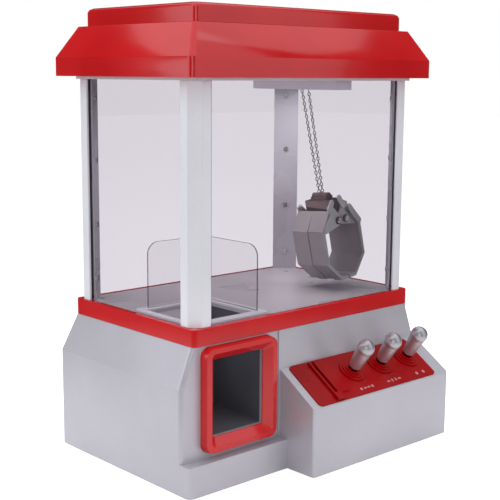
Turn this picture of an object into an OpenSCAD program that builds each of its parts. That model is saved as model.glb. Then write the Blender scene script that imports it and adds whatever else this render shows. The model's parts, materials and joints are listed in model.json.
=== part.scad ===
// Claw crane machine: a desktop toy with a glazed cabinet on a control base, a travelling
// crane under a two-part roof, and a two-jaw claw that hangs on a pair of chains.
// X runs left to right, Y runs front to back, Z runs up. Heights inside the modules are
// measured from the bottom edge of the base, and place() puts the whole machine in its frame.

/* [Base] */
// Half the width of the base
base_half_w = 134.9; // [132:0.1:140]
// Distance from the cabinet's middle to the back of the base
base_back = 85.6; // [84:0.1:88]
// Distance from the cabinet's middle to the front wall of the base
base_front = 77.4; // [76:0.1:78]
// Height of the shoulder where the side walls start to lean in
shoulder_z = 82.3; // [78:0.1:88]
// Height of the lower tray
tray_h = 24.5; // [24:0.1:30]
// How far the tray's ledge stands in front of the front wall
ledge_depth = 10.2; // [8:0.1:12]
// Height of the rubber feet
foot_h = 2.5; // [2:0.1:4]
// Wall of the base mouldings
wall = 2.5; // [2:0.1:3]

/* [Control box] */
// Left side of the control box
box_left = -33.3; // [-34:0.1:-30]
// How far the control box stands out from the cabinet's middle
box_front = 117.3; // [116:0.1:118]
// Height of the control box at its front
box_front_z = 55.3; // [54:0.1:56]
// Height where its slope meets the front wall
box_back_z = 81.1; // [80:0.1:82]
// Distance between two joysticks
stick_pitch = 34.5; // [32:0.1:36]
// Radius of a joystick's ball
ball_r = 7.5; // [6:0.1:8]

/* [Cabinet] */
// Half the width of the red band
band_half_w = 122.9; // [121:0.1:124]
// Half the depth of the red band
band_half_d = 78.6; // [78:0.1:80]
// Bottom of the band
band_z = 112.8; // [110:0.1:114]
// Top of the band, level with the cabinet's floor
floor_z = 126.4; // [125:0.1:128]
// Underside of the header frame above the windows
header_z = 308.9; // [300:0.1:312]
// Window thickness
pane_t = 1.4; // [1:0.1:1.5]

/* [Roof] */
// How far the eave stands out from the band
eave_out = 10.1; // [8:0.1:11]
// Bottom of the fascia
eave_z = 311.1; // [311:0.1:312]
// Top of the fascia
fascia_z = 325.9; // [324:0.1:328]
// Top of the sloped roof
slope_z = 350.6; // [349:0.1:352]
// Top of the lid
top_z = 365; // [362:0.1:368]

/* [Crane] */
// Bridge position from the middle of the cabinet, at rest
bridge_x = 54; // [40:0.5:60]
// Where the chains leave the beam, from the middle of the cabinet
chain_y = -15; // [-25:0.5:-5]
// Underside of the beam
beam_z = 301; // [299:0.5:303]
// Length of chain between the beam and the claw, at rest
chain_length = 91.1; // [80:0.1:92]
// Lean of the hanging claw about the X axis, in degrees
lean_x = -5.4; // [-8:0.1:0]
// Lean of the hanging claw about the Y axis, in degrees
lean_y = -8.2; // [-10:0.1:0]
// Half the width of the closed claw
claw_half_w = 24; // [22:0.5:25]
// Half the depth of the claw
claw_half_d = 19.2; // [18:0.1:20]

/* [Hidden] */
$fn = 48;

silver = "#bcbac4";
red = "#cd1e1e";
dark_red = "#a80d12";
steel = "#a8a8ac";
dark = "#3a3a42";
grey = "#8c868c";
black = "#1a1a1c";

edge_r = 4; // radius of the upright corners of the mouldings
box_r = 2.5; // radius of the control box's upright corners
gap = 0.15; // gap left around a part that fits in an opening

// The machine is centred on its own bounding box, so the cabinet sits a little to the back
roof_half_w = band_half_w + eave_out;
roof_half_d = band_half_d + eave_out;
cabinet_y = (box_front - roof_half_d) / 2;

// Control box slope
slope_angle = atan2(box_back_z - box_front_z, box_front - base_front);
slope_len = norm([box_back_z - box_front_z, box_front - base_front]);
panel_x = [-25.5, 119.5];
panel_y = [1.8, slope_len - 1.2];
stick_x = [for (i = [0:2]) 33.7 + i * stick_pitch];
stick_y = 27;
panel_low = 2.6; // depth of the panel's flange, just under the box's own wall
pivot_z = -6; // joystick pivot below the panel's surface
ball_z = 27;
boot_top = 4;
coin_x = -1;

// Underside
cover_x = [40, 100];
screw_places = [[-124, -62], [22, -66], [127, -62], [-124, 58], [0, 76], [127, 58]];

// Cabinet corners
post_half_w = 121.1;
post_half_d = 76.8;
post_leg = 16.5;
post_t = 2.2;
post_chamfer = 8;
strip_reach = 21; // where the corner strip crosses, measured along both walls
strip_t = 2.3;
strip_cut = strip_reach + strip_t + 0.4;
strip_screw_z = [143.7, 189.2, 242.6, 293.2];

// Prize opening
door_x = [-103.8, -52.8];
door_z = [40.2, 101];
hole_x = [-112, -50];
hole_y = [-64.5, -4.5];
rim_x = [-117.3, -41]; // outer edges of the rim round the hole
rim_y = [-73, 3.5];
rim_h = 2.2;
guard_x = -48; // near faces of the guard's two sheets
guard_y = -0.6;

// Roof
slope_half_w = band_half_w - 3.8;
slope_half_d = band_half_d - 3.8;
lid_half_w = band_half_w - 8.9;
lid_half_d = band_half_d - 8.9;
lid_gap = 0.3;
hinge_y = lid_half_d + 2.4;
hinge_z = slope_z + 2.4;
hinge_x = [-70, 70];

// Crane
rail_z = header_z + 6.6;
rail_h = 4;
rail_y = 66.5;
wheel_r = 6;
axle_r = 2;
running = 0.05;
axle_z = rail_z + rail_h + wheel_r + running;
axle_x = 25;
plate_z = rail_z + 0.6;
plate_t = 2;
beam_w = 19.5;
beam_y = [-60, 41];
trolley_y = chain_y + 5.9;
trolley_wheel_r = 4;
trolley_axle_z = plate_z + plate_t + trolley_wheel_r + running;
drum_r = 5;
drum_z = 329;
strand_x = 4;
strand_r = 0.9;

// Claw, in its own frame: the origin is the top of the chain anchor
pivot_x = 4.6;
pivot_down = -24;
pin_r = 1.5;
jaw_t = 2;

module place() {
    translate([0, cabinet_y, foot_h]) children();
}

module rounded(x, y, r) {
    translate([x[0] + r, y[0]]) square([x[1] - x[0] - 2 * r, y[1] - y[0]]);
    translate([x[0], y[0] + r]) square([x[1] - x[0], y[1] - y[0] - 2 * r]);
    for (cx = [x[0] + r, x[1] - r], cy = [y[0] + r, y[1] - r])
        translate([cx, cy]) circle(r);
}

// A block between two x, two y and two z values, with upright corners of radius r
module block(x, y, z, r = 0) {
    translate([0, 0, z[0]])
        linear_extrude(z[1] - z[0])
            if (r > 0) rounded(x, y, r);
            else translate([x[0], y[0]]) square([x[1] - x[0], y[1] - y[0]]);
}

// A rounded slab about the cabinet's middle
module slab(half_w, half_d, z, r = edge_r) {
    block([-half_w, half_w], [-half_d, half_d], z, r);
}

module at_corner(sx, sy) {
    translate([sx * post_half_w, sy * post_half_d, 0])
        mirror([sx > 0 ? 1 : 0, 0, 0])
            mirror([0, sy > 0 ? 1 : 0, 0])
                children();
}

module on_panel() {
    translate([0, -box_front, box_front_z]) rotate([slope_angle, 0, 0]) children();
}

module at_stick(i) {
    on_panel() translate([stick_x[i], stick_y, 0]) children();
}

module on_bridge() {
    translate([bridge_x, 0, 0]) children();
}

module on_trolley() {
    translate([bridge_x, trolley_y, 0]) children();
}

module in_claw() {
    translate([bridge_x, chain_y, beam_z])
        rotate([lean_x, lean_y, 0])
            translate([0, 0, -chain_length])
                children();
}

// ---- Base ----

module base_plan(inset) {
    x = base_half_w - inset;
    r = edge_r - min(inset, 2);
    rounded([-x, x], [-base_front - ledge_depth + inset, base_back - inset], r);
    rounded([box_left + inset, x], [-box_front + inset, 0], box_r - min(inset, 1.5));
}

module lower_tray() color(silver) place() {
    difference() {
        linear_extrude(tray_h) base_plan(0);
        translate([0, 0, 3]) linear_extrude(tray_h) base_plan(wall);
        block(cover_x, [-6, base_back + 1], [-1, 4]);
        block(cover_x + [-1.2, 1.2], [-6, base_back + 1], [0.9, 2.1]);
        for (p = screw_places) translate([p[0], p[1], -1]) cylinder(h = 5, r = 1.6);
        for (p = screw_places) translate([p[0], p[1], -1]) cylinder(h = 2.6, r = 3.2);
    }
    block([-base_half_w + 1, box_left + 1], [-base_front - ledge_depth + 1, -base_front + 4],
        [tray_h - wall, tray_h]);
}

module base_shell() color(silver) place() difference() {
    union() {
        hull() {
            block([-base_half_w, base_half_w], [-base_front, base_back],
                [tray_h, shoulder_z], edge_r, $fn = 32);
            block([-band_half_w, band_half_w], [-base_front, band_half_d],
                [band_z - 0.5, band_z], edge_r, $fn = 32);
        }
        control_box([box_left, base_half_w], 0);
        block([box_left - 2, base_half_w - 14], [-base_front - 1, -70], [tray_h, band_z]);
    }
    difference() {
        union() {
            hull() {
                block([-base_half_w + wall, base_half_w - wall],
                    [-base_front + wall, base_back - wall], [tray_h - 1, shoulder_z - 1], 2,
                    $fn = 32);
                block([-band_half_w + wall, band_half_w - wall],
                    [-base_front + wall, band_half_d - wall],
                    [band_z - wall - 0.5, band_z - wall], 2, $fn = 32);
            }
            control_box([box_left + wall, base_half_w - wall], wall);
        }
        for (p = screw_places) translate([p[0], p[1], 0]) cylinder(h = band_z, r = 4);
    }
    for (p = screw_places) translate([p[0], p[1], 0]) cylinder(h = 40, r = 1.5);
    block([-band_half_w, band_half_w], [-base_front - 5, 0], [band_z, band_z + 5]);
    block(door_x, [-base_front - 2, -base_front + 5], door_z);
    block([hole_x[0] - 2.4, hole_x[1] + 3.4], [hole_y[0] - 2.4, hole_y[1] + 2.9],
        [band_z - 5, band_z + 1]);
    on_panel() block(panel_x - [gap, -gap], panel_y - [gap, -gap], [-wall - 2, 2], 4);
    for (p = grille_places()) translate([85 + p[0], 80, 60 + p[1]])
        rotate([-90, 0, 0]) cylinder(h = 10, r = 1.3, $fn = 24);
    block([-101, -89], [80, 90], [57.6, 62.4]);
}

// Centres of the speaker grille's holes, in rings
function grille_places() = [[0, 0], for (ring = [1:3], i = [0:6 * ring - 1])
    5 * ring * [cos(60 * i / ring), sin(60 * i / ring)]];

module control_box(x, inset) {
    cut = inset / cos(slope_angle); // so that the wall keeps its thickness under the slope
    intersection() {
        block(x, [-box_front + inset, 0], [0, band_z], box_r - min(inset, 1.5));
        translate([x[0], 0, 0]) rotate([90, 0, 90]) linear_extrude(x[1] - x[0])
            polygon([
                [-base_front + 4, tray_h - (inset > 0 ? 1 : 0)],
                [-box_front + inset, tray_h - (inset > 0 ? 1 : 0)],
                [-box_front + inset, box_front_z + inset * tan(slope_angle) - cut],
                [-base_front, box_back_z - cut],
                [-base_front + 4, box_back_z - cut]
            ]);
    }
}

module feet() color(black) place()
    for (p = [[-118, -76], [-118, 70], [118, 70], [112, -105]])
        translate([p[0], p[1], -foot_h]) cylinder(h = foot_h, r = 7);

module base_screws() color(steel) place()
    for (p = screw_places) translate([p[0], p[1], 0]) {
        translate([0, 0, 1.5]) cylinder(h = 30, r = 1.5);
        translate([0, 0, 0.2]) cylinder(h = 1.3, r = 3);
    }

module red_band() color(red) place() difference() {
    slab(band_half_w, band_half_d, [band_z, floor_z]);
    slab(115, 71, [band_z - 1, floor_z + 1], 2);
    slab(118, 74, [floor_z - 2.4, floor_z + 1], 2);
}

module cabinet_floor() color(grey) place() difference() {
    slab(118, 74, [floor_z - 2.4, floor_z], 2);
    block(hole_x, hole_y, [floor_z - 5, floor_z + 1], 2);
}

module chute_rim() color(silver) place() difference() {
    block(rim_x, rim_y, [floor_z, floor_z + rim_h], 4);
    block(hole_x, hole_y, [floor_z - 1, floor_z + 3], 2);
    // The rim stops at the corner strip that stands across its front left corner
    at_corner(-1, -1) translate([0, 0, floor_z - 1]) linear_extrude(5)
        polygon([[0, 0], [strip_cut, 0], [0, strip_cut]]);
}

// Two upright sheets on the rim, each with its outer top corner rounded
module chute_guard() color("#dfe6ea", 0.35) place() {
    translate([0, guard_y, floor_z + rim_h]) rotate([90, 0, 0]) linear_extrude(pane_t)
        guard_outline(-107, guard_x + pane_t);
    translate([guard_x, 0, floor_z + rim_h]) rotate([90, 0, 90]) linear_extrude(pane_t)
        guard_outline(hole_y[0] - 1, guard_y);
}

module guard_outline(outer, inner) {
    h = 55 - rim_h;
    r = 10;
    translate([outer + r, 0]) square([inner - outer - r, h]);
    translate([outer, 0]) square([r + 1, h - r]);
    translate([outer + r, h - r]) circle(r);
}

module prize_chute() color(dark) place() {
    x = [hole_x[0] - 2, hole_x[1] + 3];
    y = [hole_y[0] - 2, hole_y[1] + 2.5];
    front = -base_front + wall;
    difference() {
        union() {
            block(x, [front, y[1]], [door_z[0] - 2, 108]);
            block(x, y, [107, floor_z - 2.4]);
        }
        block(x + [1.6, -1.6], [front - 1, y[1] - 1.6], [door_z[0] - 0.2, 106]);
        block(x + [1.6, -1.6], y + [1.6, -1.2], [100, floor_z]);
    }
}

module door_plate(x, z, y, t, r) {
    translate([0, y + t, 0]) rotate([90, 0, 0]) linear_extrude(t) rounded(x, z, r);
}

module door_frame() color(red) place() {
    outer_x = door_x + [-12, 11.3];
    outer_z = door_z + [-11.7, 10.8];
    front = -base_front - 7;
    difference() {
        hull() {
            door_plate(outer_x, outer_z, -base_front - 0.5, 0.5, 8, $fn = 32);
            door_plate(outer_x + [1, -1], outer_z + [1, -1], front, 0.5, 7, $fn = 32);
        }
        hull() {
            door_plate(door_x, door_z, -base_front - 1.2, 0.2, 1.5, $fn = 32);
            door_plate(door_x + [-6, 6], door_z + [-6, 6], front - 0.2, 0.2, 4, $fn = 32);
        }
        door_plate(door_x, door_z, -base_front - 3, 6, 1.5, $fn = 32);
    }
}

// ---- Cabinet ----

module post(sx, sy) color(silver) place()
    at_corner(sx, sy) translate([0, 0, floor_z]) linear_extrude(header_z - floor_z)
        polygon([
            [post_leg, 0], [post_chamfer, 0], [0, post_chamfer], [0, post_leg],
            [post_t, post_leg], [post_t, post_chamfer + 0.9], [post_chamfer + 0.9, post_t],
            [post_leg, post_t]
        ]);

module post_front_left() { post(-1, -1); }
module post_front_right() { post(1, -1); }
module post_back_left() { post(-1, 1); }
module post_back_right() { post(1, 1); }

module at_strip_screws() {
    middle = (strip_reach + strip_t) / 2;
    for (z = strip_screw_z)
        translate([middle, middle, z]) rotate([0, 0, -45]) rotate([-90, 0, 0]) children();
}

module corner_strips() color(grey) place()
    for (sx = [-1, 1], sy = [-1, 1]) at_corner(sx, sy) difference() {
        near = post_t + pane_t;
        far = strip_reach - near;
        translate([0, 0, floor_z]) linear_extrude(header_z - floor_z)
            polygon([
                [near, far], [far, near], [far + strip_t, near], [near, far + strip_t]
            ]);
        at_strip_screws() translate([0, 0, -4]) cylinder(h = 8, r = 0.9);
    }

module strip_screws() color(steel) place()
    for (sx = [-1, 1], sy = [-1, 1]) at_corner(sx, sy) at_strip_screws() {
        translate([0, 0, -2.5]) cylinder(h = 2.6, r = 0.9);
        cylinder(h = 1.2, r = 2.2);
    }

module pane_x(sy) {
    y = sy * (post_half_d - post_t);
    block([-111.8, 111.8], sy > 0 ? [y - pane_t, y] : [y, y + pane_t], [floor_z, header_z]);
}

module pane_y(sx) {
    x = sx * (post_half_w - post_t);
    block(sx > 0 ? [x - pane_t, x] : [x, x + pane_t], [-67.4, 67.4], [floor_z, header_z]);
}

module window_front() color("#e8eef2", 0.3) place() pane_x(-1);
module window_back() color("#e8eef2", 0.3) place() pane_x(1);
module window_left() color("#e8eef2", 0.3) place() pane_y(-1);
module window_right() color("#e8eef2", 0.3) place() pane_y(1);

module header_frame() color(grey) place() difference() {
    union() {
        slab(121.3, 77, [header_z, eave_z + 2]);
        slab(126, 82, [eave_z + 2, rail_z]);
    }
    slab(108, 63, [header_z - 1, rail_z + 1], 3);
}

// ---- Roof ----

module roof_form(inset, low, high) {
    hull() {
        slab(roof_half_w - inset, roof_half_d - inset, [low, fascia_z - inset * 0.4],
            $fn = 32);
        slab(slope_half_w - inset, slope_half_d - inset, [high - 0.5, high], 3, $fn = 32);
    }
}

module roof_shell() color(red) place() {
    difference() {
        roof_form(0, eave_z, slope_z);
        roof_form(wall, eave_z + 2, slope_z - wall);
        slab(121.5, 77.2, [eave_z - 1, eave_z + 3], 3);
        slab(106, 62, [slope_z - 5, slope_z + 1], 3);
    }
    for (x = hinge_x, side = [-1, 1]) difference() {
        knuckle(x + side * 8, 6);
        lid_pin_bore();
    }
}

// A hinge knuckle along X, standing on the roof's back shelf
module knuckle(x, length) {
    translate([x - length / 2, hinge_y, hinge_z]) rotate([0, 90, 0])
        cylinder(h = length, r = 2);
    block([x - length / 2, x + length / 2], [hinge_y - 1, hinge_y + 1],
        [slope_z, hinge_z]);
}

module lid_pin_bore() {
    translate([-90, hinge_y, hinge_z]) rotate([0, 90, 0]) cylinder(h = 180, r = 1);
}

module roof_lid() color(red) place() {
    low = slope_z + lid_gap;
    difference() {
        hull() {
            slab(lid_half_w, lid_half_d, [low, low + 1], $fn = 32);
            slab(lid_half_w, lid_half_d, [top_z - 4, top_z - 3.5], $fn = 32);
            slab(lid_half_w - 1, lid_half_d - 1, [top_z - 2, top_z - 1.2], $fn = 32);
            slab(lid_half_w - 3.5, lid_half_d - 3.5, [top_z - 0.3, top_z], $fn = 32);
        }
        slab(lid_half_w - wall, lid_half_d - wall, [low - 1, top_z - wall], 2);
    }
    for (x = hinge_x) difference() {
        union() {
            translate([x - 4.5, hinge_y, hinge_z]) rotate([0, 90, 0])
                cylinder(h = 9, r = 2);
            block([x - 4.5, x + 4.5], [lid_half_d - 0.5, hinge_y], [hinge_z - 1, hinge_z + 2]);
        }
        translate([x - 10, hinge_y, hinge_z]) rotate([0, 90, 0])
            cylinder(h = 20, r = 1 + running);
    }
}

module lid_hinge_pin() color(steel) place()
    for (x = hinge_x) translate([x - 11.5, hinge_y, hinge_z]) rotate([0, 90, 0])
        cylinder(h = 23, r = 1);

// ---- Crane ----

module crane_rails() color(steel) place()
    for (s = [-1, 1])
        block([-116, 116], [s * rail_y - 2, s * rail_y + 2], [rail_z, rail_z + rail_h]);

module bridge_frame() color(silver) place() on_bridge() difference() {
    union() {
        block([-41, 32], [-60.5, 60.5], [plate_z, plate_z + plate_t], 2);
        for (s = [-1, 1])
            block([-41, 32], [s * 59 - 1.5, s * 59 + 1.5], [plate_z, axle_z + 5]);
    }
    block([-strand_x - 3, strand_x + 3], [-45, 46], [plate_z - 1, plate_z + plate_t + 1], 2);
    for (x = [-axle_x, axle_x]) translate([x, -70, axle_z]) rotate([-90, 0, 0])
        cylinder(h = 140, r = axle_r + running);
}

module beam() color(grey) place() on_bridge() difference() {
    block([-beam_w / 2, beam_w / 2], beam_y, [beam_z, plate_z]);
    block([-beam_w / 2 + 1.6, beam_w / 2 - 1.6], beam_y + [1.6, -1.6],
        [beam_z + 1.6, plate_z + 1]);
    block([-strand_x - 2, strand_x + 2], [-45, beam_y[1] - 5], [beam_z - 1, beam_z + 3], 2);
}

module axle(length, r) {
    translate([0, -length / 2, 0]) rotate([-90, 0, 0]) cylinder(h = length, r = r);
}

module wheelset() {
    axle(141, axle_r);
    for (s = [-1, 1]) translate([0, s * rail_y, 0]) {
        axle(3.6, wheel_r);
        translate([0, s * 2.9, 0]) axle(1.2, wheel_r + 1.8);
    }
}

module drive_wheelset() color(black) place()
    on_bridge() translate([-axle_x, 0, axle_z]) wheelset();

module idler_wheelset() color(black) place()
    on_bridge() translate([axle_x, 0, axle_z]) wheelset();

module bridge_motor() color(steel) place() on_bridge() {
    difference() {
        block([-40, -21], [30, 46], [plate_z + plate_t, axle_z + 16]);
        translate([-axle_x, 0, axle_z]) axle(120, axle_r + running);
    }
    translate([-32, 16, axle_z + 10.5]) axle(30, 8);
}

module trolley_carriage() color(silver) place() on_trolley() difference() {
    block([-15, 15], [-15, 15], [plate_z + plate_t + 0.4, drum_z + 7], 2);
    block([-9.5, 9.5], [-9.5, 9.5], [plate_z, drum_z + 8]);
    translate([-20, 0, drum_z]) rotate([0, 90, 0]) cylinder(h = 26, r = 1.5 + running);
    translate([0, 0, drum_z]) rotate([0, 90, 0]) cylinder(h = 20, r = 3);
    translate([-20, 12, trolley_axle_z]) rotate([0, 90, 0])
        cylinder(h = 40, r = 1.5 + running);
}

module trolley_wheelset() color(black) place() on_trolley()
    translate([0, 12, trolley_axle_z]) rotate([0, 90, 0]) {
        translate([0, 0, -19]) cylinder(h = 38, r = 1.5);
        for (s = [-1, 1]) translate([0, 0, s * 17 - 1.5]) cylinder(h = 3, r = trolley_wheel_r);
    }

module trolley_motor() color(steel) place() on_trolley()
    translate([0, -11.5, drum_z + 7]) rotate([0, 90, 0]) difference() {
        translate([-6, 0, -11]) cylinder(h = 22, r = 6);
        translate([0, -10, -20]) cube([20, 20, 40]);
    }

module hoist_motor() color(steel) place() on_trolley() {
    translate([10, 0, drum_z]) rotate([0, 90, 0]) cylinder(h = 5.2, r = 2.9);
    block([15.2, 20], [-9, 5], [drum_z - 5, drum_z + 8]);
}

// The drum turns in the carriage's left wall and on the motor's shaft
module winch_drum() color(black) place() on_trolley()
    translate([0, 0, drum_z]) rotate([0, 90, 0]) {
        translate([0, 0, -15]) cylinder(h = 24.8, r = 1.5);
        translate([0, 0, -8]) cylinder(h = 16, r = drum_r);
        for (x = [-8, -0.6, 6.8]) translate([0, 0, x]) cylinder(h = 1.2, r = drum_r + 3);
    }

module lift_chains() color(steel) place()
    for (s = [-1, 1]) {
        translate([bridge_x + s * strand_x, chain_y, beam_z - 1.2])
            cylinder(h = drum_z - beam_z + 1.2, r = strand_r, $fn = 24);
        translate([bridge_x, chain_y, beam_z]) rotate([lean_x, lean_y, 0])
            slanted_strand([s * 2, 0, 0.1 - chain_length], [s * strand_x, 0, 0]);
    }

// A strand of chain between two points of one upright plane
module slanted_strand(low, high) {
    run = high - low;
    translate(low) rotate([0, atan2(run[0], run[2]), 0])
        cylinder(h = norm(run), r = strand_r, $fn = 24);
}

// ---- Claw ----

module chain_anchor() color(dark) place() in_claw() {
    translate([0, -9, -3]) rotate([-90, 0, 0]) cylinder(h = 18, r = 3);
    block([-4.5, 4.5], [-9, 9], [-6, -3]);
}

module claw_head() color(dark) place() in_claw() difference() {
    block([-7.2, 7.2], [-14.8, 14.8], [-28.5, -6], 1);
    for (s = [-1, 1]) translate([s * pivot_x, -20, pivot_down]) rotate([-90, 0, 0])
        cylinder(h = 40, r = pin_r);
}

module jaw_pins() color(steel) place() in_claw()
    for (s = [-1, 1]) translate([s * pivot_x, -claw_half_d - 1.6, pivot_down])
        rotate([-90, 0, 0]) {
            cylinder(h = 2 * claw_half_d + 3.2, r = pin_r);
            for (y = [0, 2 * claw_half_d + 2.2]) translate([0, 0, y]) cylinder(h = 1, r = 2.6);
        }

// One jaw of the left-hand form: a band of four ribs that stand out by turns, bent round
// half an octagon, and two side plates whose near face is at plate_y from the middle
module jaw(plate_y) {
    rib = 2 * claw_half_d / 4;
    for (k = [0:3])
        translate([0, -claw_half_d + (k + 1) * rib, 0]) rotate([90, 0, 0])
            linear_extrude(rib) jaw_band(k % 2 == 0 ? 0.9 : 0);
    for (s = [-1, 1]) difference() {
        translate([0, s > 0 ? plate_y + 1.8 : -plate_y, 0]) rotate([90, 0, 0])
            linear_extrude(1.8) jaw_plate();
        translate([-pivot_x, -30, pivot_down]) rotate([-90, 0, 0])
            cylinder(h = 60, r = pin_r + running);
    }
}

module jaw_band(out) {
    t = jaw_t + out;
    w = claw_half_w + out - 0.9;
    polygon([
        [-12.8, -14], [-w, -30], [-w, -60], [-9, -76 - out], [-0.6, -76 - out],
        [-0.6, -76 - out + t], [-8.2, -76 - out + t], [-w + t, -59.2], [-w + t, -30.8],
        [-11.2, -15.2]
    ]);
}

module jaw_plate()
    polygon([
        [-12.6, -14.4], [-22.4, -29.2], [-21.4, -32.6], [-2.4, -28.6], [-0.6, -25],
        [-1, -19.6], [-5, -14], [-9.6, -8.6], [-13.6, -11]
    ]);

module jaw_left() color(grey) place() in_claw() jaw(claw_half_d - 1.8);

module jaw_right() color(grey) place() in_claw() mirror([1, 0, 0]) jaw(claw_half_d - 4);

// ---- Controls ----

module control_panel() color(dark_red) place() on_panel() difference() {
    union() {
        block(panel_x, panel_y, [-panel_low, 0.8], 4);
        block(panel_x + [-2.5, 2.5], panel_y + [0.8, -1.5], [-panel_low - 1.5, -panel_low], 3);
        for (x = [coin_x - 3.6, coin_x + 1.6])
            block([x, x + 2], [9, 45], [0, 2.6], 0.9);
        block([coin_x - 4, coin_x + 4.5], [2.6, 9.5], [0, 3.2], 1);
        block([coin_x + 3.6, coin_x + 16], [9, 45], [0, 1.6], 1);
    }
    block([coin_x - 1.4, coin_x + 1.4], [12, 40], [-6, 4]);
    for (i = [0:2]) translate([stick_x[i], stick_y, -8]) cylinder(h = 12, r = 5);
}

module joystick_boots() color(red) place()
    for (i = [0:2]) at_stick(i) difference() {
        union() {
            translate([0, 0, 0.8]) cylinder(h = 1.3, r = 12);
            translate([0, 0, 2]) cylinder(h = 1.1, r = 9.6);
            translate([0, 0, 3]) cylinder(h = boot_top - 3, r = 7.4);
        }
        cylinder(h = 10, r = 4.6);
    }

function ball_outline(low_r, low_z) = [
    [0, low_z], [low_r - 0.5, low_z], [low_r, low_z + 0.5],
    [low_r + 0.8, low_z + 8], [low_r + 1.3, low_z + 14],
    for (a = [-24:6:90]) [ball_r * cos(a), ball_z + ball_r * sin(a)]];

module knob(i) color(silver) place() at_stick(i) difference() {
    rotate_extrude() polygon(ball_outline(5.2, boot_top + 2));
    cylinder(h = 20, r = 1.6);
}

module knob_left() { knob(0); }
module knob_middle() { knob(1); }
module knob_right() { knob(2); }

// The left stick rocks sideways and the others rock fore and aft
function stick_turn(i) = i == 0 ? 0 : 90;

module shaft(i) color(steel) place() at_stick(i) rotate([0, 0, stick_turn(i)]) {
    translate([0, 0, -16]) cylinder(h = 36, r = 1.6);
    translate([0, 0, pivot_z]) sphere(r = 3.2);
    translate([0, -9.5, pivot_z]) rotate([-90, 0, 0]) cylinder(h = 19, r = 1.5);
}

module shaft_left() { shaft(0); }
module shaft_middle() { shaft(1); }
module shaft_right() { shaft(2); }

module joystick_sockets() color(black) place()
    for (i = [0:2]) at_stick(i) rotate([0, 0, stick_turn(i)])
        difference() {
            block([-11, 11], [-11, 11], [-13, -panel_low - 1.5]);
            block([-9, 9], [-7, 7], [-14, 0]);
            translate([0, -12, pivot_z]) rotate([-90, 0, 0])
                cylinder(h = 24, r = 1.5 + running);
            translate([0, 0, pivot_z]) sphere(r = 4.2);
        }

module switch_blocks() color(dark) place()
    for (i = [0:2], s = [-1, 1]) at_stick(i) rotate([0, 0, stick_turn(i)])
        block([s > 0 ? 5.2 : -11, s > 0 ? 11 : -5.2], [-4, 4], [-19, -13.1]);

module coin_chute() color(dark) place() on_panel() difference() {
    block([coin_x - 3, coin_x + 3], [10, 42], [-26, -panel_low - 1.5]);
    block([coin_x - 1.8, coin_x + 1.8], [11.2, 40.8], [-30, 0]);
}

module coin_box() color(grey) place() difference() {
    block([coin_x - 20, coin_x + 16], [-108, -60], [3, 28]);
    block([coin_x - 18.4, coin_x + 14.4], [-106.4, -61.6], [4.6, 30]);
}

module circuit_board() color("#1d5c34") place() {
    block([-40, 35], [-30, 30], [9, 10.6]);
    for (x = [-34, 29], y = [-24, 24]) block([x - 2, x + 2], [y - 2, y + 2], [3, 9]);
    block([-20, -6], [-10, 10], [10.6, 13]);
    for (i = [0:3]) translate([6 + i * 7, -14, 10.6]) cylinder(h = 9, r = 2.6, $fn = 24);
    block([2, 28], [6, 14], [10.6, 19]);
}

module speaker() color(black) place()
    translate([85, base_back - wall, 60]) rotate([90, 0, 0]) {
        difference() {
            cylinder(h = 4, r = 22);
            translate([0, 0, -1]) cylinder(h = 4, r = 19);
        }
        translate([0, 0, 4]) cylinder(h = 7, r = 15);
        translate([0, 0, 11]) cylinder(h = 7, r = 9);
    }

// ---- Power ----

cell_r = 13.1;
cell_y = [for (i = [0:2]) 8 + i * 27.5];

module battery_box() color(black) place() difference() {
    block(cover_x + [-2, 2], [-8, 79], [3, 33]);
    block(cover_x, [-6, 77], [2, 31]);
}

module batteries() color("#c9a227") place()
    for (y = cell_y) translate([cover_x[0] + 4.5, y, 3.4 + cell_r]) rotate([0, 90, 0]) {
        cylinder(h = 48.5, r = cell_r);
        cylinder(h = 50.3, r = 3);
    }

module battery_contacts() color(steel) place()
    for (y = cell_y) translate([cover_x[0], y, 3.4 + cell_r]) {
        block([0, 0.6], [-7, 7], [-8, 8]);
        block([59.4, 60], [-7, 7], [-8, 8]);
        translate([0.6, 0, 0]) rotate([0, 90, 0]) cylinder(h = 3.8, r1 = 6, r2 = 3.5);
        translate([54.9, 0, 0]) rotate([0, 90, 0]) cylinder(h = 4.5, r = 2.5);
    }

module battery_cover() color(silver) place() {
    block(cover_x + [0.3, -0.3], [-5.5, base_back], [0.3, 2.4]);
    block(cover_x + [-0.9, 0.9], [-5.5, base_back - 3], [1.1, 1.9]);
    for (i = [0:4]) block([60, 80], [66 + 3 * i, 67.4 + 3 * i], [0, 0.5]);
}

module power_switch() color(black) place() {
    block([-99, -94], [base_back - 4, base_back + 2.4], [58, 62]);
    block([-103, -90.5], [base_back - wall - 1.6, base_back - wall - 0.1], [56, 64]);
}

lower_tray();
base_shell();
feet();
base_screws();
red_band();
cabinet_floor();
chute_rim();
chute_guard();
prize_chute();
door_frame();
post_front_left();
post_front_right();
post_back_left();
post_back_right();
corner_strips();
strip_screws();
header_frame();
roof_shell();
roof_lid();
lid_hinge_pin();
crane_rails();
bridge_frame();
beam();
bridge_motor();
drive_wheelset();
idler_wheelset();
trolley_carriage();
trolley_motor();
trolley_wheelset();
hoist_motor();
winch_drum();
lift_chains();
chain_anchor();
claw_head();
jaw_pins();
jaw_left();
jaw_right();
control_panel();
joystick_boots();
joystick_sockets();
switch_blocks();
knob_left();
knob_middle();
knob_right();
shaft_left();
shaft_middle();
shaft_right();
coin_chute();
coin_box();
circuit_board();
speaker();
battery_box();
batteries();
battery_contacts();
battery_cover();
power_switch();
window_front();
window_back();
window_left();
window_right();
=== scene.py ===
"""Looks of the desktop claw crane machine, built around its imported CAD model."""

import json
import math
import random

import bmesh
import bpy
from mathutils import Matrix, Vector


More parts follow.
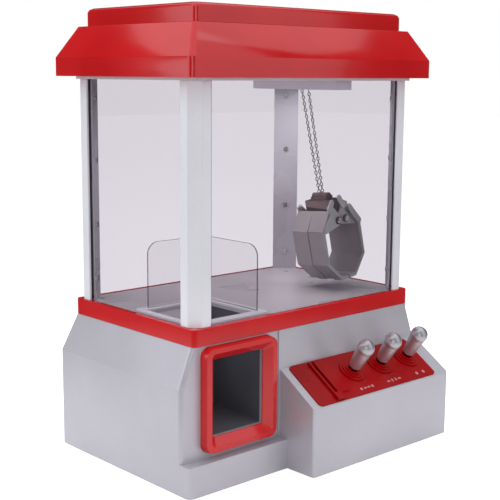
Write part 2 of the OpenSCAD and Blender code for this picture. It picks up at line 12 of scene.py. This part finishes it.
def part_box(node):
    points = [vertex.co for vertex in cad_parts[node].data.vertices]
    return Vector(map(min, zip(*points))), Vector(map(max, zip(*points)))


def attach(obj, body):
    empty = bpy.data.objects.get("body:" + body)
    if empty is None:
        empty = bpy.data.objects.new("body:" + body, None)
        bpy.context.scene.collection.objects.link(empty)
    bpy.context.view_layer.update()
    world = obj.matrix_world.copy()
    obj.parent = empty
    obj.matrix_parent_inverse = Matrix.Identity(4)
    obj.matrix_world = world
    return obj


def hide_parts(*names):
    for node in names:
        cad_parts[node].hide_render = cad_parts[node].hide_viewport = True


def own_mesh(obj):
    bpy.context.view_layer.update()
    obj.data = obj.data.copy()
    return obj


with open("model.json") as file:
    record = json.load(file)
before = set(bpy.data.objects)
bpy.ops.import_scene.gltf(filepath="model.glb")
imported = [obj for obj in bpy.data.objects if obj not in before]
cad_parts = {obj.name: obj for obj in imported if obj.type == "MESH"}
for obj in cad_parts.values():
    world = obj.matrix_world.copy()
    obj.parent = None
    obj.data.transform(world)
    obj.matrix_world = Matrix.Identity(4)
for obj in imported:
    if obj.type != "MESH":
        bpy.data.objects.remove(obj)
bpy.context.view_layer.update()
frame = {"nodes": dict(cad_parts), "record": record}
NODES = frame["nodes"]

MM = 0.001
CABINET_Y = (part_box("red_band")[0].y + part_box("red_band")[1].y) / 2  # the cabinet's middle
BASE_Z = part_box("lower_tray")[0].z  # bottom edge of the base, above the feet
random.seed(7)


def place(x, y, z):
    """A point given in millimetres from the cabinet's middle and the base's bottom edge."""
    return Vector((x * MM, y * MM + CABINET_Y, z * MM + BASE_Z))


# ---- Materials ----

def principled(name, colour, roughness, **inputs):
    """A new node material with one Principled shader; returns it, its nodes and its shader."""
    mat = bpy.data.materials.new(name)
    mat.use_nodes = True
    tree = mat.node_tree
    shader = tree.nodes["Principled BSDF"]
    shader.inputs["Base Color"].default_value = (*colour, 1)
    shader.inputs["Roughness"].default_value = roughness
    for key, value in inputs.items():
        shader.inputs[key.replace("_", " ")].default_value = value
    return mat, tree, shader


def texture(tree, kind, scale, stretch=(1, 1, 1), **settings):
    """A texture node on object coordinates, stretched along each axis."""
    coords = tree.nodes.new("ShaderNodeTexCoord")
    mapping = tree.nodes.new("ShaderNodeMapping")
    mapping.inputs["Scale"].default_value = stretch
    node = tree.nodes.new(kind)
    node.inputs["Scale"].default_value = scale
    for key, value in settings.items():
        node.inputs[key].default_value = value
    tree.links.new(coords.outputs["Object"], mapping.inputs["Vector"])
    tree.links.new(mapping.outputs["Vector"], node.inputs["Vector"])
    return node


def span(tree, source, low, high, from_low=0.0, from_high=1.0):
    """Maps a texture's value to a range."""
    node = tree.nodes.new("ShaderNodeMapRange")
    node.inputs["From Min"].default_value = from_low
    node.inputs["From Max"].default_value = from_high
    node.inputs["To Min"].default_value = low
    node.inputs["To Max"].default_value = high
    tree.links.new(source, node.inputs["Value"])
    return node.outputs["Result"]


def tint(tree, shader, source, dark, light):
    """Drives the base colour between two colours."""
    mix = tree.nodes.new("ShaderNodeMix")
    mix.data_type = "RGBA"
    mix.inputs["A"].default_value = (*dark, 1)
    mix.inputs["B"].default_value = (*light, 1)
    tree.links.new(source, mix.inputs["Factor"])
    tree.links.new(mix.outputs["Result"], shader.inputs["Base Color"])


def bump(tree, shader, source, strength, distance):
    """Drives the surface's fine relief."""
    node = tree.nodes.new("ShaderNodeBump")
    node.inputs["Strength"].default_value = strength
    node.inputs["Distance"].default_value = distance
    tree.links.new(source, node.inputs["Height"])
    tree.links.new(node.outputs["Normal"], shader.inputs["Normal"])


def moulded(name, dark, light, roughness, grain=0.06, grain_scale=900, spread=0.05, **inputs):
    """Moulded plastic: slow colour drift, uneven gloss and a fine surface grain."""
    mat, tree, shader = principled(name, light, roughness, **inputs)
    drift = texture(tree, "ShaderNodeTexNoise", 14, Detail=3)
    fine = texture(tree, "ShaderNodeTexNoise", grain_scale, Detail=2)
    tint(tree, shader, span(tree, drift.outputs["Fac"], 0, 1, 0.35, 0.65), dark, light)
    gloss = span(tree, drift.outputs["Fac"], roughness - spread, roughness + spread, 0.3, 0.7)
    tree.links.new(gloss, shader.inputs["Roughness"])
    bump(tree, shader, fine.outputs["Fac"], grain, 0.0001)
    return mat


def flake_paint(name, dark, light, roughness, metallic):
    """Silver paint on plastic: fine metal flake over a slow drift of tone."""
    mat, tree, shader = principled(name, light, roughness, Metallic=metallic,
                                   Coat_Weight=0.12, Coat_Roughness=0.25)
    flake = texture(tree, "ShaderNodeTexVoronoi", 2600)
    drift = texture(tree, "ShaderNodeTexNoise", 9, Detail=4)
    blend = tree.nodes.new("ShaderNodeMath")
    blend.operation = "MULTIPLY_ADD"
    blend.inputs[1].default_value = 0.35
    tree.links.new(flake.outputs["Color"], blend.inputs[0])
    tree.links.new(drift.outputs["Fac"], blend.inputs[2])
    tint(tree, shader, span(tree, blend.outputs["Value"], 0, 1, 0.4, 0.95), dark, light)
    rough = span(tree, drift.outputs["Fac"], roughness - 0.05, roughness + 0.06, 0.3, 0.7)
    tree.links.new(rough, shader.inputs["Roughness"])
    bump(tree, shader, flake.outputs["Distance"], 0.05, 0.0001)
    return mat


def metal(name, dark, light, roughness, stretch=(1, 1, 1), scale=160):
    """Bright metal with fine drawn marks."""
    mat, tree, shader = principled(name, light, roughness, Metallic=1.0)
    marks = texture(tree, "ShaderNodeTexNoise", scale, stretch, Detail=5)
    tint(tree, shader, span(tree, marks.outputs["Fac"], 0, 1, 0.3, 0.7), dark, light)
    rough = span(tree, marks.outputs["Fac"], roughness - 0.06, roughness + 0.1, 0.3, 0.7)
    tree.links.new(rough, shader.inputs["Roughness"])
    bump(tree, shader, marks.outputs["Fac"], 0.08, 0.0001)
    return mat


def clear_sheet(name, pass_colour, facing, grazing):
    """Thin clear plastic: a tinted see-through layer under a gloss that grows at grazing angles."""
    mat, tree, shader = principled(name, (0.02, 0.02, 0.02), 0.03, Coat_Weight=0.3)
    see = tree.nodes.new("ShaderNodeBsdfTransparent")
    see.inputs["Color"].default_value = (*pass_colour, 1)
    haze = texture(tree, "ShaderNodeTexNoise", 22, Detail=3)
    tint(tree, shader, haze.outputs["Fac"], (0.015, 0.015, 0.017), (0.03, 0.03, 0.033))
    rough = span(tree, haze.outputs["Fac"], 0.015, 0.05, 0.3, 0.7)
    tree.links.new(rough, shader.inputs["Roughness"])
    layer = tree.nodes.new("ShaderNodeLayerWeight")
    layer.inputs["Blend"].default_value = 0.5
    power = tree.nodes.new("ShaderNodeMath")
    power.operation = "POWER"
    power.inputs[1].default_value = 4
    tree.links.new(layer.outputs["Facing"], power.inputs[0])
    amount = span(tree, power.outputs["Value"], facing, grazing)
    mix = tree.nodes.new("ShaderNodeMixShader")
    out = next(n for n in tree.nodes if n.type == "OUTPUT_MATERIAL")
    tree.links.new(amount, mix.inputs["Fac"])
    tree.links.new(see.outputs["BSDF"], mix.inputs[1])
    tree.links.new(shader.outputs["BSDF"], mix.inputs[2])
    tree.links.new(mix.outputs["Shader"], out.inputs["Surface"])
    return mat


RED = moulded("gloss_red", (0.53, 0.006, 0.008), (0.60, 0.009, 0.011), 0.12, spread=0.03,
              Coat_Weight=0.25, Coat_Roughness=0.05)
DARK_RED = moulded("panel_red", (0.26, 0.001, 0.002), (0.36, 0.002, 0.003), 0.3, spread=0.05,
                   Specular_IOR_Level=0.14)
SILVER = flake_paint("silver_paint", (0.48, 0.465, 0.51), (0.59, 0.57, 0.625), 0.38, 0.4)
POST_SILVER = flake_paint("post_silver", (0.76, 0.75, 0.80), (0.88, 0.87, 0.92), 0.36, 0.15)
KNOB = flake_paint("knob_silver", (0.46, 0.44, 0.47), (0.58, 0.56, 0.60), 0.34, 0.8)
FLOOR_GREY = moulded("cabinet_grey", (0.46, 0.43, 0.46), (0.53, 0.50, 0.53), 0.30)
BEAM_GREY = moulded("crane_grey", (0.82, 0.79, 0.84), (0.88, 0.85, 0.90), 0.34)
STRIP_GREY = moulded("strip_grey", (0.38, 0.365, 0.41), (0.45, 0.435, 0.48), 0.30)
CLAW_GREY = moulded("claw_grey", (0.26, 0.236, 0.25), (0.31, 0.284, 0.298), 0.22)
# Paler claw paint: the own colour of the pale plates on the claw's front, and a painted highlight
# where the jaws' front edges and tip tops are repainted with it.
CLAW_PALE_AND_HIGHLIGHT = flake_paint("claw_pale_and_painted_highlight", (0.42, 0.42, 0.42), (0.52, 0.52, 0.52), 0.34, 0.5)
CLAW_DARK = moulded("claw_dark", (0.075, 0.05, 0.055), (0.10, 0.07, 0.075), 0.24)
CHUTE = moulded("chute_dark", (0.085, 0.085, 0.10), (0.115, 0.115, 0.135), 0.38)
BLACK = moulded("black_plastic", (0.018, 0.018, 0.02), (0.03, 0.03, 0.032), 0.42)
RUBBER = moulded("black_rubber", (0.012, 0.012, 0.012), (0.022, 0.022, 0.022), 0.7, grain=0.2)
STEEL = metal("steel", (0.5, 0.5, 0.51), (0.66, 0.66, 0.67), 0.26)
NICKEL = metal("chain_nickel", (0.36, 0.33, 0.32), (0.6, 0.57, 0.56), 0.22, scale=900)
BOARD = moulded("board_green", (0.015, 0.1, 0.04), (0.03, 0.15, 0.06), 0.3, grain_scale=300)
CELL = moulded("cell_wrap", (0.40, 0.26, 0.04), (0.52, 0.35, 0.06), 0.2)
WHITE_INK = moulded("pale_ink", (0.42, 0.20, 0.21), (0.50, 0.27, 0.28), 0.4)
WINDOW = clear_sheet("window_clear", (0.922, 0.91, 0.927), 0.02, 0.35)
GUARD = clear_sheet("guard_clear", (0.97, 0.965, 0.97), 0.02, 0.4)
GUARD_EDGE = clear_sheet("guard_edge", (0.36, 0.34, 0.36), 0.12, 0.5)

NODE_MATERIAL = {
    SILVER: "lower_tray base_shell battery_cover bridge_frame trolley_carriage",
    POST_SILVER: "post_front_left post_front_right post_back_left post_back_right chute_rim",
    RED: "red_band door_frame roof_shell roof_lid",
    DARK_RED: "control_panel joystick_boots",
    FLOOR_GREY: "cabinet_floor coin_box",
    BEAM_GREY: "header_frame beam",
    STRIP_GREY: "corner_strips",
    CLAW_GREY: "jaw_left jaw_right",
    CLAW_DARK: "claw_head chain_anchor",
    CHUTE: "prize_chute coin_chute switch_blocks",
    WINDOW: "window_front window_back window_left window_right",
    GUARD: "chute_guard",
    KNOB: "knob_left knob_middle knob_right",
    STEEL: "base_screws strip_screws crane_rails jaw_pins lid_hinge_pin shaft_left"
           " shaft_middle shaft_right battery_contacts bridge_motor hoist_motor trolley_motor",
    NICKEL: "lift_chains",
    BLACK: "battery_box joystick_sockets winch_drum drive_wheelset idler_wheelset"
           " trolley_wheelset power_switch speaker",
    RUBBER: "feet",
    BOARD: "circuit_board",
    CELL: "batteries",
}
MATERIAL_OF = {node: mat for mat, names in NODE_MATERIAL.items() for node in names.split()}
for node_name, node_object in NODES.items():
    node_object.data.materials.clear()
    node_object.data.materials.append(MATERIAL_OF[node_name])


# ---- Mesh helpers ----

BODY_OF = {}
for body_name, node_names in frame["record"]["behaviour"]["bodies"].items():
    for node_name in node_names:
        BODY_OF[node_name] = body_name


def finish_mesh(bm, name, material, body, sharp=32):
    """Makes an object of a bmesh, shades it by angle and lets it ride on a body."""
    bmesh.ops.recalc_face_normals(bm, faces=bm.faces)
    mesh = bpy.data.meshes.new(name)
    bm.to_mesh(mesh)
    bm.free()
    mesh.materials.append(material)
    for polygon in mesh.polygons:
        polygon.use_smooth = True
    mesh.set_sharp_from_angle(angle=math.radians(sharp))
    piece = bpy.data.objects.new(name, mesh)
    weigh = piece.modifiers.new("even_shading", "WEIGHTED_NORMAL")
    weigh.weight = 100
    weigh.keep_sharp = True
    bpy.context.collection.objects.link(piece)
    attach(piece, body)
    return piece


def soften(node, width, segments=2, angle=30, sharp=35):
    """Stands for a CAD node with the same form and its edges eased by a small radius."""
    choose = EDGE_CHOICE.get(node, lambda middle: True)
    source = NODES[node]
    bm = bmesh.new()
    bm.from_mesh(source.data)
    bm.transform(source.matrix_world)
    bmesh.ops.remove_doubles(bm, verts=bm.verts, dist=2e-6)
    bmesh.ops.dissolve_limit(bm, angle_limit=math.radians(0.4), verts=bm.verts,
                             edges=bm.edges)
    edges = [e for e in bm.edges if len(e.link_faces) == 2
             and e.calc_face_angle() > math.radians(angle)
             and choose((e.verts[0].co + e.verts[1].co) / 2)]
    bmesh.ops.bevel(bm, geom=edges, offset=width * MM, offset_type="OFFSET",
                    segments=segments, profile=0.5, affect="EDGES", clamp_overlap=True)
    piece = finish_mesh(bm, f"{node}_skin", MATERIAL_OF[node], BODY_OF[node], sharp)
    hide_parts(node)
    return piece


# ---- Castings and mouldings with eased edges ----

SEAM_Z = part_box("lower_tray")[1].z  # where the lower tray meets the shell above it
BOX_LEFT = -33.3 * MM  # left side of the control box
LEDGE_REAR = place(0, -78, 0).y  # the tray's front ledge lies in front of this
LEDGE_SIDE = 134.5 * MM  # and just inside the outer faces of the base's side walls


def off_flush_seam(middle):
    """False for the seam's edges where tray and shell are flush and no line shows."""
    on_seam = abs(middle.z - SEAM_Z) < 0.1 * MM
    box_side = abs(middle.x - BOX_LEFT) < 0.1 * MM
    ledge = middle.x < BOX_LEFT and middle.y < LEDGE_REAR and abs(middle.x) < LEDGE_SIDE
    return not on_seam or box_side or ledge


EDGE_CHOICE = {"lower_tray": off_flush_seam, "base_shell": off_flush_seam}
# Radius in millimetres by which each node's edges are eased
SOFT_EDGES = {
    "red_band": 0.5, "chute_rim": 0.5, "door_frame": 0.9, "corner_strips": 0.25,
    "post_front_left": 0.5, "post_front_right": 0.5, "post_back_left": 0.5,
    "post_back_right": 0.5, "beam": 0.4, "bridge_frame": 0.4, "claw_head": 0.5,
    "lower_tray": 0.8, "base_shell": 0.8, "battery_cover": 0.3, "jaw_left": 0.15,
    "jaw_right": 0.15, "prize_chute": 0.3, "roof_shell": 0.8, "roof_lid": 0.6,
    "control_panel": 0.35, "chute_guard": 0.15,
}
SOFTENED = {node_name: soften(node_name, width) for node_name, width in SOFT_EDGES.items()}


def repaint(piece, material, chosen):
    """Gives a second material to the faces that chosen(centre, normal) picks."""
    piece.data.materials.append(material)
    for polygon in piece.data.polygons:
        if chosen(polygon.center, polygon.normal):
            polygon.material_index = 1


# ---- Control panel marks ----

# The control box's sloped top, from its front edge up to its rear edge
SLOPE_FRONT_Y, SLOPE_FRONT_Z = -117.3, 55.3
SLOPE_REAR_Y, SLOPE_REAR_Z = -77.4, 81.1
SLOPE = math.atan2(SLOPE_REAR_Z - SLOPE_FRONT_Z, SLOPE_REAR_Y - SLOPE_FRONT_Y)
INK_LOW, INK_TOP = 0.76, 0.9  # the marks start just inside the panel's face


def on_panel(x, along, above=0.8):
    """A point on the sloped panel: along the slope from the box's front edge, above its face."""
    y = SLOPE_FRONT_Y + along * math.cos(SLOPE) - above * math.sin(SLOPE)
    return place(x, y, SLOPE_FRONT_Z + along * math.sin(SLOPE) + above * math.cos(SLOPE))


def panel_marks(name, outlines):
    """Thin printed pictograms, each a closed outline in the panel's own plane."""
    bm = bmesh.new()
    for outline in outlines:
        low_ring = [bm.verts.new(on_panel(x, y, INK_LOW)) for x, y in outline]
        top_ring = [bm.verts.new(on_panel(x, y, INK_TOP)) for x, y in outline]
        bm.faces.new(top_ring)
        bm.faces.new(low_ring[::-1])
        for i in range(len(outline)):
            j = (i + 1) % len(outline)
            bm.faces.new((low_ring[i], low_ring[j], top_ring[j], top_ring[i]))
    return finish_mesh(bm, name, WHITE_INK, "cabinet")


def disc(x, y, radius, count=20):
    """The outline of a round dot."""
    return [(x + radius * math.cos(2 * math.pi * k / count),
             y + radius * math.sin(2 * math.pi * k / count)) for k in range(count)]


def arrow(x, y, turn, length=3.4, width=2.6):
    """A plain arrowhead with a short tail, pointing along turn in degrees."""
    c, s = math.cos(math.radians(turn)), math.sin(math.radians(turn))
    shape = [(length / 2, 0), (0, width / 2), (0, width / 5), (-length / 2, width / 5),
             (-length / 2, -width / 5), (0, -width / 5), (0, -width / 2)]
    return [(x + u * c - v * s, y + u * s + v * c) for u, v in shape]


STICK_X = (33.7, 68.2, 102.7)  # the joysticks, from left to right
MARK_Y = 7.2  # how far up the slope the row of marks lies
first, second, third = STICK_X
panel_marks("marks_left", [
    disc(first - 6.5, MARK_Y, 1.3), arrow(first - 1.8, MARK_Y, 180),
    arrow(first + 2.6, MARK_Y, 0), disc(first + 7, MARK_Y, 1.3)])
panel_marks("marks_middle", [
    arrow(second - 7, MARK_Y, 180, 4), arrow(second + 7, MARK_Y, 0, 4),
    arrow(second - 2.2, MARK_Y, 90), arrow(second + 2.2, MARK_Y, 270)])
panel_marks("marks_right", [disc(third - 4.4, MARK_Y, 1.5), disc(third + 4.4, MARK_Y, 1.5)])


# ---- Claw plates ----

HANG_X, HANG_Y = 54, -15  # where the chains come through the beam
BEAM_UNDER = 301
STRAND_END = 327  # inside the winch drum, just below its axis
CHAIN_TOP = place(HANG_X, HANG_Y, BEAM_UNDER)
# The chains run up to the left and the rear, so the claw hangs off plumb
LEAN = Matrix.Rotation(math.radians(-8.2), 3, "Y") @ Matrix.Rotation(math.radians(-5.4), 3, "X")
CHAIN_UP = LEAN @ Vector((0, 0, 1))
CHAIN_LENGTH = 91.1 * MM


def in_claw(x, y, z):
    """A point in millimetres in the hanging claw's own frame, from the top of its anchor."""
    return CHAIN_TOP + LEAN @ (Vector((x, y, z)) * MM - Vector((0, 0, CHAIN_LENGTH)))


def claw_local(point):
    """The inverse of in_claw, in metres."""
    return LEAN.transposed() @ (point - CHAIN_TOP) + Vector((0, 0, CHAIN_LENGTH))


CLAW_FRONT = LEAN @ Vector((0, -1, 0))
JAW_TIPS = -70 * MM  # the jaws' tips lie below this height
CHUTE_COLLAR = place(0, 0, 99).z  # the prize chute's pale upper part starts here
GUARD_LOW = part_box("chute_guard")[0]


def painted_highlight_faces(centre, normal):
    """Painted highlight: the jaws' front edges and the upward tops of their tips are painted
    brighter than their ribs, for the light they catch from the front and from above.
    """
    at_tip = claw_local(centre).z < JAW_TIPS
    return normal.dot(CLAW_FRONT) > 0.8 or (at_tip and normal.dot(CHAIN_UP) > 0.4)


def guard_edges(centre, normal):
    """The cut edges of the guard's two sheets."""
    return (abs(normal.z) > 0.2 or centre.x < GUARD_LOW.x + 0.3 * MM
            or centre.y < GUARD_LOW.y + 0.3 * MM)


# Painted highlight on each jaw's front edges and tip tops, in the paler claw paint.
for jaw in ("jaw_left", "jaw_right"):
    repaint(SOFTENED[jaw], CLAW_PALE_AND_HIGHLIGHT, painted_highlight_faces)
repaint(SOFTENED["prize_chute"], BEAM_GREY, lambda centre, normal: centre.z > CHUTE_COLLAR)
repaint(SOFTENED["chute_guard"], GUARD_EDGE, guard_edges)


def claw_plate(name, outline, y, thick, body, material, ease=0.35):
    """A flat plate across the claw's front, given as an outline in the claw's own X and Z."""
    bm = bmesh.new()
    front = [bm.verts.new(in_claw(x, y - thick, z)) for x, z in outline]
    rear = [bm.verts.new(in_claw(x, y, z)) for x, z in outline]
    bm.faces.new(front)
    bm.faces.new(rear[::-1])
    for i in range(len(outline)):
        j = (i + 1) % len(outline)
        bm.faces.new((front[j], front[i], rear[i], rear[j]))
    bmesh.ops.recalc_face_normals(bm, faces=bm.faces)
    bmesh.ops.bevel(bm, geom=bm.edges[:], offset=ease * MM, offset_type="OFFSET", segments=2,
                    profile=0.5, affect="EDGES", clamp_overlap=True)
    return finish_mesh(bm, name, material, body)


def bar(x0, z0, x1, z1, width):
    """The outline of a flat bar with rounded ends between two points."""
    turn = math.atan2(z1 - z0, x1 - x0)
    half = width / 2
    ends = []
    for x, z, start in ((x1, z1, turn - math.pi / 2), (x0, z0, turn + math.pi / 2)):
        ends += [(x + half * math.cos(start + k * math.pi / 6),
                  z + half * math.sin(start + k * math.pi / 6)) for k in range(7)]
    return ends


FRONT = -19.2  # front of the jaws' bands and of the left jaw's side plate
PIVOT_X, PIVOT_Z = 4.6, -24  # each jaw's pin, left and right of the claw's middle
claw_plate("left_lug", bar(-8.6, -7.5, -13.2, -14.5, 5), FRONT, 1.4, "left_jaw", CLAW_PALE_AND_HIGHLIGHT)
claw_plate("right_lug", bar(-0.6, -4.5, 3.2, -12.6, 5), FRONT - 1.6, 1.4, "right_jaw", CLAW_PALE_AND_HIGHLIGHT)
claw_plate("right_shoulder", [(10.8, -12.4), (13.4, -12.6), (24.3, -28.6), (23.6, -31.5),
                              (19.4, -31.2), (11, -18.4)], FRONT, 1.4, "right_jaw", CLAW_PALE_AND_HIGHLIGHT)
claw_plate("left_shoulder", [(-10.6, -14.4), (-7.6, -17), (-2.4, -27), (-3.6, -28.6),
                             (-21, -32.4), (-22.9, -30)], FRONT, 1.4, "left_jaw", CLAW_PALE_AND_HIGHLIGHT)


def round_stack(name, x, z, y_front, profile, body, material, sides=24):
    """A turned form on the claw's front, its axis along the claw's own Y: (radius, depth) pairs."""
    bm = bmesh.new()
    rings = []
    for radius, depth in profile:
        rings.append([bm.verts.new(in_claw(x + radius * math.cos(2 * math.pi * k / sides),
                                           y_front + depth,
                                           z + radius * math.sin(2 * math.pi * k / sides)))
                      for k in range(sides)])
    for near, far in zip(rings, rings[1:]):
        for k in range(sides):
            m = (k + 1) % sides
            bm.faces.new((near[k], near[m], far[m], far[k]))
    bm.faces.new(rings[0][::-1])
    bm.faces.new(rings[-1])
    return finish_mesh(bm, name, material, body, 40)


round_stack("right_lug_boss", 3.2, -12.6, FRONT - 1.7, [(1.6, 0), (1.6, 2.0)],
            "right_jaw", CLAW_PALE_AND_HIGHLIGHT)
for side, x in (("left", -PIVOT_X), ("right", PIVOT_X)):
    round_stack(f"{side}_washer", x, PIVOT_Z, FRONT - 2.4, [(2.9, 0), (3.4, 0.4), (3.4, 1.0)],
                "claw", CLAW_DARK)
    round_stack(f"{side}_nut", x, PIVOT_Z, FRONT - 4.2, [(1.9, 0), (2.5, 0.5), (2.5, 1.9)],
                "claw", STEEL, 6)


# ---- Chains ----

LINK_WIRE = 0.42 * MM  # radius of the wire
LINK_LONG = 3.7 * MM
LINK_WIDE = 2.9 * MM
STRAND_LOW, STRAND_TOP = 2, 4  # each strand's distance from the middle, at the claw and the beam


def add_link(bm, centre, along, across):
    """One oval chain link, swept as a ring of round wire."""
    along = along.normalized()
    across = (across - along * across.dot(along)).normalized()
    normal = along.cross(across)
    end_r = LINK_WIDE / 2 - LINK_WIRE
    straight = LINK_LONG / 2 - LINK_WIDE / 2
    path = []
    for i in range(20):
        turn = 2 * math.pi * i / 20
        shift = straight if math.cos(turn) > 0 else -straight
        path.append((end_r * math.cos(turn) + shift, end_r * math.sin(turn), turn))
    rings = []
    for u, v, turn in path:
        middle = centre + along * u + across * v
        outward = along * math.cos(turn) + across * math.sin(turn)
        rings.append([bm.verts.new(middle + LINK_WIRE * (outward * math.cos(a)
                      + normal * math.sin(a))) for a in (k * math.pi / 4 for k in range(8))])
    for ring, following in zip(rings, rings[1:] + rings[:1]):
        for k in range(8):
            bm.faces.new((ring[k], following[k], following[(k + 1) % 8], ring[(k + 1) % 8]))


def chain(name, strands, body):
    """Strands of links from a low to a high point; each link is turned a quarter from the last."""
    bm = bmesh.new()
    for low, high in strands:
        run = high - low
        pitch = LINK_LONG - 2.2 * LINK_WIRE
        count = max(1, round((run.length - 2.2 * LINK_WIRE) / pitch))
        step = run / count
        flat = run.cross(Vector((0.7, 0.7, 0))).normalized()
        edge = run.cross(flat).normalized()
        for i in range(count):
            wobble = math.radians(random.uniform(-14, 14) + (90 if i % 2 else 0))
            across = flat * math.cos(wobble) + edge * math.sin(wobble)
            add_link(bm, low + step * (i + 0.5), run, across)
    return finish_mesh(bm, name, NICKEL, body, 60)


claw_top = CHAIN_TOP - CHAIN_UP * CHAIN_LENGTH
hanging = chain("chains_hanging", [
    (claw_top + LEAN @ Vector((side * STRAND_LOW * MM, 0, 0)),
     CHAIN_TOP + Vector((side * STRAND_TOP * MM, 0, 0))) for side in (-1, 1)], "trolley")
chain("chains_inside", [
    (CHAIN_TOP + Vector((side * STRAND_TOP * MM, 0, 0)),
     place(HANG_X + side * STRAND_TOP, HANG_Y, STRAND_END)) for side in (-1, 1)], "trolley")
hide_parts("lift_chains")
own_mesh(hanging)


# ---- Floor, lights and camera ----

def area_light(name, position, target, size, power, colour=(1, 1, 1)):
    """A rectangular softbox that faces a point."""
    data = bpy.data.lights.new(name, "AREA")
    data.shape = "RECTANGLE"
    data.size, data.size_y = size
    data.energy = power
    data.color = colour
    lamp = bpy.data.objects.new(name, data)
    lamp.location = position
    lamp.rotation_euler = (Vector(target) - Vector(position)).to_track_quat("-Z", "Y").to_euler()
    bpy.context.collection.objects.link(lamp)
    return lamp


ground = bmesh.new()
for x, y in ((-6, -6), (6, -6), (6, 6), (-6, 6)):
    ground.verts.new((x, y, 0))
ground.faces.new(ground.verts)
ground_mesh = bpy.data.meshes.new("studio_floor")
ground.to_mesh(ground_mesh)
ground.free()
GROUND_GLOW = 1.0  # keeps the floor white to the eye without lighting the object from below
GROUND, _, ground_shader = principled("studio_white", (0.5, 0.5, 0.5), 0.8)
ground_shader.inputs["Emission Color"].default_value = (1, 1, 1, 1)
ground_rays = GROUND.node_tree.nodes.new("ShaderNodeLightPath")
ground_glow = span(GROUND.node_tree, ground_rays.outputs["Is Camera Ray"], 0, GROUND_GLOW)
GROUND.node_tree.links.new(ground_glow, ground_shader.inputs["Emission Strength"])
ground_place = GROUND.node_tree.nodes.new("ShaderNodeTexCoord")
ground_reach = GROUND.node_tree.nodes.new("ShaderNodeVectorMath")
ground_reach.operation = "LENGTH"
GROUND.node_tree.links.new(ground_place.outputs["Object"], ground_reach.inputs[0])
tint(GROUND.node_tree, ground_shader,
     span(GROUND.node_tree, ground_reach.outputs["Value"], 0, 1, 0.34, 0.62),
     (0.85, 0.84, 0.84), (0.1, 0.1, 0.1))
ground_mesh.materials.append(GROUND)
floor = bpy.data.objects.new("studio_floor", ground_mesh)
bpy.context.collection.objects.link(floor)

SKY_LIGHT = 0.62  # what the surroundings add to matt surfaces
SKY_MIRRORED = 0.06  # and what glossy ones mirror of them
world = bpy.data.worlds.new("studio")
bpy.context.scene.world = world
world.use_nodes = True
sky = world.node_tree
background = sky.nodes["Background"]
rays = sky.nodes.new("ShaderNodeLightPath")
seen = sky.nodes.new("ShaderNodeMapRange")
seen.inputs["To Min"].default_value = SKY_LIGHT
seen.inputs["To Max"].default_value = 1.0
mirrored = sky.nodes.new("ShaderNodeMapRange")
mirrored.inputs["To Max"].default_value = SKY_MIRRORED
sky.links.new(rays.outputs["Is Camera Ray"], seen.inputs["Value"])
sky.links.new(rays.outputs["Is Glossy Ray"], mirrored.inputs["Value"])
sky.links.new(seen.outputs["Result"], mirrored.inputs["To Min"])
sky.links.new(mirrored.outputs["Result"], background.inputs["Strength"])
background.inputs["Color"].default_value = (1, 1, 1, 1)

COOL = (0.93, 0.96, 1.0)
area_light("softbox_left", (-1.25, 0.65, 0.75), (0, 0.1, 0.3), (1.2, 1.6), 8.5, COOL)
area_light("softbox_right", (0.65, -1.32, 0.75), (0, 0, 0.3), (1.15, 1.6), 4.6, COOL)
area_light("fill_front", (-0.9, -1.1, 0.45), (0, 0, 0.1), (0.8, 0.5), 2.1)
inner = area_light("cabinet_fill", (0.03, CABINET_Y, 0.302), (0.03, CABINET_Y + 0.001, 0.1),
                   (0.16, 0.1), 0.22)
upward = area_light("beam_fill", (0.03, CABINET_Y, 0.2), (0.03, CABINET_Y + 0.001, 0.4),
                    (0.12, 0.08), 0.07)
for lamp in (inner, upward):
    lamp.visible_glossy = lamp.visible_camera = False
area_light("softbox_top", (0.13, 0.38, 1.5), (0.13, 0.381, 0), (2.8, 2.8), 25, COOL)

CAMERA_TURN = math.radians(-42.39)
CAMERA_RISE = math.radians(9.38)
CAMERA_ROLL = math.radians(0.4)
CAMERA_DISTANCE = 0.92049
back = Vector((math.sin(CAMERA_TURN) * math.cos(CAMERA_RISE),
               -math.cos(CAMERA_TURN) * math.cos(CAMERA_RISE), math.sin(CAMERA_RISE)))
right = Vector((math.cos(CAMERA_TURN), math.sin(CAMERA_TURN), 0))
camera_data = bpy.data.cameras.new("camera")
camera_data.sensor_width = 36
camera_data.lens = 76.82
camera = bpy.data.objects.new("camera", camera_data)
camera.location = place(0, 0, 163.95) + right * 3.19 * MM + back * CAMERA_DISTANCE
look = (-back).to_track_quat("-Z", "Y").to_matrix() @ Matrix.Rotation(CAMERA_ROLL, 3, "Z")
camera.rotation_euler = look.to_euler()
bpy.context.collection.objects.link(camera)
bpy.context.scene.camera = camera

view_settings = bpy.context.scene.view_settings
view_settings.view_transform = "Standard"
view_settings.look = "None"
